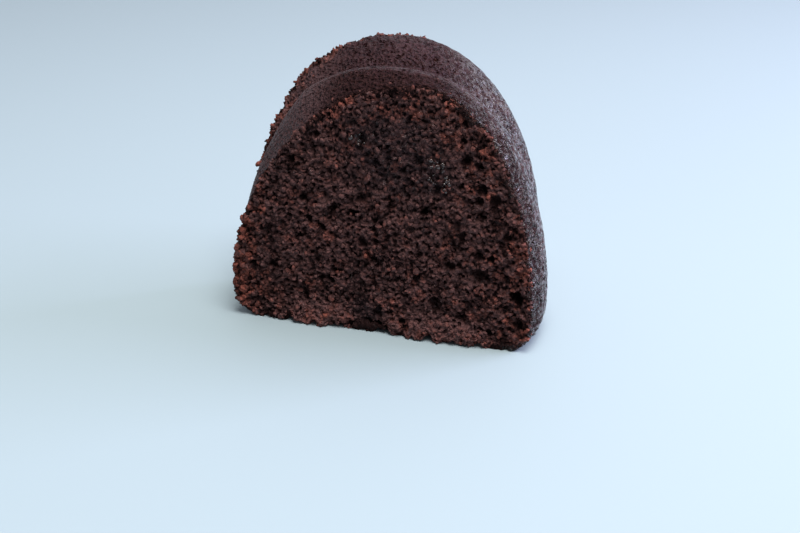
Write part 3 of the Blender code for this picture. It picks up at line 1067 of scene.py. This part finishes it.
def crust_shell():
    """The skin as a closed thin tube round the slice: an outer and an inner wall, joined at both ends."""
    visible = np.interp(4, COURSES, COURSE_SHARES)
    share = np.concatenate([
        np.linspace(0, visible, CRUST_STEPS, endpoint=False),
        np.linspace(visible, 1, CRUST_FOOT_STEPS, endpoint=False),
    ])
    reach, _ = section_at(share, 0 * share)
    radius = RING_RADIUS + reach
    front_tear = ragged(share, FRONT_TEAR, FRONT_TEAR_SEED) + FOOT_TEAR * (share >= visible)
    rear_tear = ragged(share, REAR_TEAR, REAR_TEAR_SEED) * torn_width(reach, False) / REAR_TORN_WIDTH
    start = np.degrees(front_tear / radius)
    stop = WEDGE_ANGLE - np.degrees(rear_tear / radius)
    points = crust_wall(share, start, stop, 0.0, CRUST_ROWS)
    points += crust_wall(share, start, stop, CRUST_THICKNESS, CRUST_INNER_ROWS)
    rings = [row * len(share) + np.arange(len(share)) for row in range(len(points))]
    outer, inner = rings[: CRUST_ROWS + 1], rings[CRUST_ROWS + 1 :]
    quads = [strip(near, far) for near, far in zip(outer, outer[1:])]
    quads += [strip(far, near) for near, far in zip(inner, inner[1:])]
    quads += [strip(inner[0], outer[0]), strip(outer[-1], inner[-1])]
    mesh = bpy.data.meshes.new("crust")
    mesh.from_pydata(np.concatenate(points).tolist(), [], np.concatenate(quads).tolist())
    return add_object("crust", mesh)


def paint_crust(piece):
    """Says where the skin is rough, glazed, smooth, under the painted crest highlight or turned
    inwards. "behind" is the distance behind the first flute's crest, in millimetres."""
    places = points_of(piece)
    across = outwards_of(places)
    angle = np.degrees(np.arctan2(places[:, 1] - AXIS_Y, places[:, 0] - AXIS_X))
    behind = np.radians(angle - crest_angle(across)) * (RING_RADIUS + across)
    rough = blend(ROUGH_AT_CREST - behind / ROUGH_SOFTNESS) * blend((across - ROUGH_FROM) / ROUGH_EASE)
    glazed = blend((across - GLAZED_FROM) / GLAZED_EASE)
    outer_points = (CRUST_ROWS + 1) * (CRUST_STEPS + CRUST_FOOT_STEPS)
    paint(piece, "outside", np.arange(len(places)) < outer_points)
    paint(piece, "behind", behind * 1000)
    paint(piece, "rough", rough)
    paint(piece, "glazed", glazed)
    # Painted highlight: where the crest is painted light, near the crown.
    paint(piece, "crown", blend((places[:, 2] - CREST_HIGHLIGHT_ABOVE) / CREST_HIGHLIGHT_EASE))
    bumpy = SMOOTH_RELIEF + (1 - SMOOTH_RELIEF) * blend((across - SMOOTH_UP_TO) / SMOOTH_EASE)
    paint(piece, "bumpy", bumpy + GLAZED_RELIEF * glazed)


def crust_relief_tree():
    """Fine pores, a soft unevenness, a few broken pits and a rough stretch, on the outer wall only."""
    inputs = [("Geometry", "NodeSocketGeometry"), ("Peel Height", "NodeSocketFloat")]
    inputs += [("Pit Depth", "NodeSocketFloat"), ("Material", "NodeSocketMaterial")]
    tree, given, result = new_tree("crust relief", inputs)
    place = tree.nodes.new("GeometryNodeInputPosition").outputs[0]
    normal = tree.nodes.new("GeometryNodeInputNormal").outputs["Normal"]
    warped = swayed_place(tree, place, WARP_SIZE, SKIN_WARP_REACH)
    peel = ramp_of(tree, cells_of(tree, warped, PEEL_SIZE)[0], *PEEL_WALL)
    pit, draw = cells_of(tree, warped, CRUST_PIT_SPACING)
    chance = node(tree, "ShaderNodeSeparateXYZ", {"Vector": draw}).outputs["X"]
    chosen = sum_of(tree, "LESS_THAN", chance, CRUST_PIT_SHARE)
    reach = CRUST_PIT_RADIUS / CRUST_PIT_SPACING
    pit = sum_of(tree, "MULTIPLY", ramp_of(tree, pit, reach, CRUST_PIT_FLOOR * reach), chosen)
    bumps = sum_of(tree, "MULTIPLY", level_of(tree, place, CRUST_BUMP_SIZE, 2.0), CRUST_BUMP_HEIGHT)
    level = sum_of(tree, "MULTIPLY_ADD", peel, given["Peel Height"], -PEEL_DROP * PEEL_HEIGHT)
    level = sum_of(tree, "ADD", bumps, level)
    level = sum_of(tree, "SUBTRACT", level, sum_of(tree, "MULTIPLY", pit, given["Pit Depth"]))
    level = sum_of(tree, "MULTIPLY", level, named(tree, "bumpy"))
    rough = ramp_of(tree, cells_of(tree, warped, ROUGH_SIZE)[0], *ROUGH_WALL, smooth=False)
    rough = sum_of(tree, "MULTIPLY", sum_of(tree, "MULTIPLY", rough, named(tree, "rough")), ROUGH_HEIGHT)
    level = sum_of(tree, "SUBTRACT", sum_of(tree, "ADD", level, rough), CRUST_BUMP_HEIGHT)
    level = sum_of(tree, "MULTIPLY", level, named(tree, "outside"))
    moved = move_of(tree, "ADD", place, move_of(tree, "SCALE", normal, level))
    kept = keep_value(tree, given["Geometry"], "pit", pit)
    kept = keep_value(tree, kept, "peel", peel)
    finish_tree(tree, given, result, kept, moved)
    return tree


def painted_crest_highlight(tree, place, glazed):
    """A painted highlight along the first flute's crest near the crown, broken up by noise, fading out on the
    glazed wall.
    """
    crest = ramp_of(tree, sum_of(tree, "ABSOLUTE", attribute_of(tree, "behind")), *CREST_HIGHLIGHT_WIDTH)
    highlight_breaks = ramp_of(tree, level_of(tree, place, HIGHLIGHT_BREAK_SIZE, 3.0), *HIGHLIGHT_BREAK_RANGE)
    crest = sum_of(tree, "MULTIPLY", sum_of(tree, "MULTIPLY", crest, highlight_breaks), attribute_of(tree, "crown"))
    return sum_of(tree, "MULTIPLY", crest, sum_of(tree, "SUBTRACT", 1.0, glazed))


def skin_colour(tree, place, patch, speck, grain, edge, crest):
    """The skin's colour: its patches and pores, then each stretch where it differs, and its torn edge."""
    rough, glazed, pit = (attribute_of(tree, name) for name in ("rough", "glazed", "pit"))
    skin = mix_of(tree, patch, *SKIN_COLOURS)
    skin = mix_of(tree, sum_of(tree, "MULTIPLY", speck, SKIN_SPECK_SHARE), skin, SKIN_SPECK_COLOUR)
    # Painted shade: the pores, low in the peel, are painted dark.
    skin = mix_of(tree, ramp_of(tree, attribute_of(tree, "peel"), *PORE_SHADE_RANGE), skin, PORE_SHADE_COLOUR)
    # Painted shade: the rough stretch is painted darker in the dips of the same grain that makes its bumps.
    crumbly = mix_of(tree, ramp_of(tree, grain, *ROUGH_GRAIN_SHADE_RANGE), *ROUGH_SHADED_COLOURS)
    crumbly = mix_of(tree, sum_of(tree, "MULTIPLY", speck, ROUGH_SPECK_SHARE), crumbly, ROUGH_SPECK_COLOUR)
    skin = mix_of(tree, sum_of(tree, "MULTIPLY", rough, ROUGH_SHARE), skin, crumbly)
    skin = mix_of(tree, pit, skin, mix_of(tree, speck, *PIT_COLOURS))
    smooth = ramp_of(tree, attribute_of(tree, "bumpy"), *SMOOTH_RANGE)
    skin = mix_of(tree, sum_of(tree, "MULTIPLY", smooth, SMOOTH_SHARE), skin, SMOOTH_COLOUR)
    dark = mix_of(tree, patch, *GLAZED_COLOURS)
    skin = mix_of(tree, sum_of(tree, "MULTIPLY", glazed, GLAZED_SHARE), skin, dark)
    # Painted highlight: a light warm line along the first crest near the crown.
    skin = mix_of(tree, sum_of(tree, "MULTIPLY", crest, CREST_HIGHLIGHT_SHARE), skin, CREST_HIGHLIGHT_COLOUR)
    bare = ramp_of(tree, level_of(tree, place, EDGE_SIZE, 3.0), *EDGE_RANGE)
    return mix_of(tree, edge, skin, mix_of(tree, bare, *EDGE_COLOURS))


def crust_material():
    """Dark skin with a dull sheen, and a broken gloss on the glazed outer wall."""
    material, tree, shader = new_material("baked chocolate crust")
    place = tree.nodes.new("ShaderNodeTexCoord").outputs["Object"]
    rough, glazed, pit = (attribute_of(tree, name) for name in ("rough", "glazed", "pit"))
    outside = attribute_of(tree, "outside")
    patch = ramp_of(tree, level_of(tree, place, SKIN_PATCH_SIZE, 3.0), *SKIN_PATCH_RANGE)
    speck = ramp_of(tree, level_of(tree, place, SKIN_SPECK_SIZE, 3.0), *SKIN_SPECK_RANGE)
    swayed = swayed_place(tree, place, *SKIN_SWAY)
    grain = ramp_of(tree, cells_of(tree, swayed, SKIN_GRAIN_SIZE)[0], *SKIN_GRAIN_RANGE)
    edge = ramp_of(tree, outside, *EDGE_TURN)
    # The painted crest highlight, where the gloss is also taken off.
    crest = painted_crest_highlight(tree, place, glazed)
    colour = skin_colour(tree, place, patch, speck, grain, edge, crest)
    coarse, _ = cells_of(tree, swayed, GLAZE_GRAIN_SIZE)
    coarse = ramp_of(tree, coarse, *GLAZE_GRAIN_RANGE, smooth=False)
    coarse = sum_of(tree, "MULTIPLY", sum_of(tree, "SUBTRACT", coarse, grain), glazed)
    edge_bump = sum_of(tree, "MULTIPLY", edge, speck)
    rough_bump = sum_of(tree, "MULTIPLY", rough, speck)
    fine = level_of(tree, place, SKIN_SPECK_SIZE, 2.0)
    bumps = (coarse, GLAZE_BUMP), (fine, FINE_BUMP), (edge_bump, EDGE_BUMP), (rough_bump, ROUGH_BUMP)
    height = add_weighted(tree, grain, *bumps)
    roughness = add_weighted(tree, SKIN_ROUGHNESS, (patch, PATCH_ROUGHNESS), (rough, ROUGH_ROUGHNESS))
    gloss = add_weighted(tree, SKIN_GLOSS, (glazed, GLAZED_GLOSS), (rough, ROUGH_GLOSS))
    broken = ramp_of(tree, level_of(tree, place, GLOSS_SIZE, 3.0), *GLOSS_BREAKS)
    for share in (broken, outside, sum_of(tree, "SUBTRACT", 1.0, crest), sum_of(tree, "SUBTRACT", 1.0, pit)):
        gloss = sum_of(tree, "MULTIPLY", gloss, share)
    coat_surface(tree, shader, colour, roughness, height, CRUST_BUMP, gloss)
    shader.inputs["Coat Roughness"].default_value = CRUST_COAT_ROUGHNESS
    shader.inputs["Coat IOR"].default_value = CRUST_COAT_IOR
    shader.inputs["Specular IOR Level"].default_value = CRUST_SHINE
    return material


crust = crust_shell()
paint_crust(crust)
bake_nodes(
    crust, crust_relief_tree(), Peel_Height=PEEL_HEIGHT, Pit_Depth=CRUST_PIT_DEPTH,
    Material=crust_material(),
)
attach(crust, "root")
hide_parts("cake_slice")

# Clinging crumbs and grains: loose bits that the knife dragged out. The larger ones stick along the
# rims of both cuts, most at the hole side, and the finer ones lie all over the cuts.
CLINGING_RADII = (0.00040, 0.00105)
CLINGING_COUNT = 900
CLINGING_FACES = (8, 5)
CLINGING_SEED = 7
GRAIN_RADII = (0.00030, 0.00065)
GRAIN_COUNT = 2400
GRAIN_FACES = (6, 4)
GRAIN_SEED = 9
GRAIN_COVER = 0.0035
DENTS = 0.00085
DENT_SIZE = 0.0007
# A bit's least and most proportions, and its most turn about each axis.
FLATTEST_BIT = (0.55, 0.55, 0.45)
LONGEST_BIT = (1.40, 1.30, 1.00)
BIT_TURN = (6.283, 6.283, 6.283)
# How far from the rear cut crumbs still cling, and up to where outwards.
REAR_SHED_REACH = 0.004
REAR_SHED_UP_TO = 0.007
REAR_SHED_EASE = 0.012
# The same at the front cut's hole side, and a thin shedding all along the front rim.
FRONT_SHED_REACH = 0.0012
FRONT_SHED_UP_TO = -0.045
FRONT_SHED_EASE = 0.010
RIM_SHED_SHARE = 0.12
RIM_SHED_REACH = 0.0020
RIM_SHED_FROM = 0.0003


def scatter_tree():
    """Small uneven bits of crumb on a surface, as many as its shed attribute says."""
    inputs = [("Geometry", "NodeSocketGeometry"), ("Density", "NodeSocketFloat")]
    inputs += [("Smallest", "NodeSocketFloat"), ("Largest", "NodeSocketFloat"), ("Sides", "NodeSocketInt")]
    inputs += [("Rings", "NodeSocketInt"), ("Dents", "NodeSocketFloat"), ("Seed", "NodeSocketInt")]
    inputs += [("Material", "NodeSocketMaterial")]
    tree, given, result = new_tree("scattered crumb", inputs)
    density = sum_of(tree, "MULTIPLY", given["Density"], named(tree, "shed"))
    spread = node(tree, "GeometryNodeDistributePointsOnFaces",
                  {"Mesh": given["Geometry"], "Density": density, "Seed": given["Seed"]})
    ball = node(tree, "GeometryNodeMeshUVSphere", {"Segments": given["Sides"], "Rings": given["Rings"]})
    size = node(tree, "FunctionNodeRandomValue", data_type="FLOAT")
    feed(tree, size.inputs[2], given["Smallest"])
    feed(tree, size.inputs[3], given["Largest"])
    shape = node(tree, "FunctionNodeRandomValue", data_type="FLOAT_VECTOR")
    feed(tree, shape.inputs[0], FLATTEST_BIT)
    feed(tree, shape.inputs[1], LONGEST_BIT)
    turn = node(tree, "FunctionNodeRandomValue", data_type="FLOAT_VECTOR")
    feed(tree, turn.inputs[1], BIT_TURN)
    scale = move_of(tree, "SCALE", shape.outputs[0], size.outputs[1])
    bits = node(tree, "GeometryNodeInstanceOnPoints",
                {"Points": spread.outputs["Points"], "Instance": ball.outputs["Mesh"],
                 "Rotation": turn.outputs[0], "Scale": scale})
    draw = node(tree, "FunctionNodeRandomValue", data_type="FLOAT")
    feed(tree, draw.inputs[2], -1.0)
    # A random tone for each bit, stored under the same name as the cuts' painted light and shade.
    toned = keep_value(tree, bits.outputs[0], "tone_and_painted_light", draw.outputs[1], domain="INSTANCE")
    loose = node(tree, "GeometryNodeRealizeInstances", {"Geometry": toned})
    place = tree.nodes.new("GeometryNodeInputPosition").outputs[0]
    sway = move_of(tree, "SCALE", spread_of(tree, place, DENT_SIZE, 3.0), given["Dents"])
    finish_tree(tree, given, result, loose.outputs[0], move_of(tree, "ADD", place, sway))
    return tree


def fading(distance, reach):
    """1 at a cut, and less and less away from it."""
    return np.exp(-np.maximum(distance, 0) / reach)


def shed_share(places):
    """Where crumbs cling: along the rims, most at the hole side, and round the foot of the cuts."""
    to_front, to_rear = distances_to_cuts(places)
    across = outwards_of(places)
    share = fading(to_rear, REAR_SHED_REACH) * blend(1 - (across - REAR_SHED_UP_TO) / REAR_SHED_EASE)
    share += fading(to_front, FRONT_SHED_REACH) * blend(1 - (across - FRONT_SHED_UP_TO) / FRONT_SHED_EASE)
    share += RIM_SHED_SHARE * fading(to_front, RIM_SHED_REACH) * (to_front > RIM_SHED_FROM)
    return np.clip(share, 0, 1)


def weighted_area(piece, weight):
    areas = np.empty(len(piece.data.polygons))
    piece.data.polygons.foreach_get("area", areas)
    corners = np.array([polygon.vertices[0] for polygon in piece.data.polygons])
    return float((areas * weight[corners]).sum())


def scatter_crumb(name, sources, shares, count, radii, faces, dents, seed, material):
    """Bits of crumb on copies of the source pieces, most where the share is high, as one piece."""
    bits = bmesh.new()
    for index, (source, share) in enumerate(zip(sources, shares)):
        ground = add_object(name, source.data.copy())
        paint(ground, "shed", share)
        bake_nodes(
            ground, SCATTER, Density=count / weighted_area(source, share), Smallest=radii[0],
            Largest=radii[1], Sides=faces[0], Rings=faces[1], Dents=dents, Seed=seed + index,
            Material=material,
        )
        bits.from_mesh(ground.data)
        bpy.data.objects.remove(ground)
    mesh = bpy.data.meshes.new(name)
    bits.to_mesh(mesh)
    bits.free()
    mesh.materials.append(material)
    piece = add_object(name, mesh)
    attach(piece, "root")
    return piece


SCATTER = scatter_tree()
HALVES = (crumb_front, crumb_back)
PLACES = [points_of(half) for half in HALVES]
near_rims = [shed_share(places) for places in PLACES]
near_cuts = [blend(1 - distances_to_cuts(places)[index] / GRAIN_COVER) for index, places in enumerate(PLACES)]
scatter_crumb(
    "clinging_crumbs", HALVES, near_rims, CLINGING_COUNT, CLINGING_RADII, CLINGING_FACES, DENTS,
    CLINGING_SEED, CRUMB,
)
scatter_crumb(
    "crumb_grains", HALVES, near_cuts, GRAIN_COUNT, GRAIN_RADII, GRAIN_FACES, DENTS, GRAIN_SEED, CRUMB,
)

# Rum syrup: small dark wet beads that stand in the soaked crumb of the front cut. The syrup was
# brushed on after baking, and what the crumb didn't take up has gathered in its pores.
BEAD_RADII = (0.00035, 0.00075)
BEAD_COUNT = 36
BEAD_FACES = (12, 8)
BEAD_SEED = 21
BEAD_DENTS = 0.00018
BEAD_COVER = 0.002
BEAD_COLOURS = ((0.012, 0.005, 0.004, 1.0), (0.046, 0.020, 0.016, 1.0))
BEAD_PATCH_SIZE = 0.0015
BEAD_PATCH_RANGE = (-0.5, 0.5)
BEAD_ROUGHNESS = 0.10
BEAD_SHINE = 0.8


def syrup_material():
    material, tree, shader = new_material("rum syrup")
    place = tree.nodes.new("ShaderNodeTexCoord").outputs["Object"]
    shade = ramp_of(tree, level_of(tree, place, BEAD_PATCH_SIZE), *BEAD_PATCH_RANGE)
    feed(tree, shader.inputs["Base Color"], mix_of(tree, shade, *BEAD_COLOURS))
    shader.inputs["Roughness"].default_value = BEAD_ROUGHNESS
    shader.inputs["Specular IOR Level"].default_value = BEAD_SHINE
    return material


on_cut = blend(1 - distances_to_cuts(PLACES[0])[0] / BEAD_COVER)
scatter_crumb(
    "syrup_beads", [crumb_front], [glossy_share(PLACES[0]) * on_cut], BEAD_COUNT, BEAD_RADII, BEAD_FACES,
    BEAD_DENTS, BEAD_SEED, syrup_material(),
)
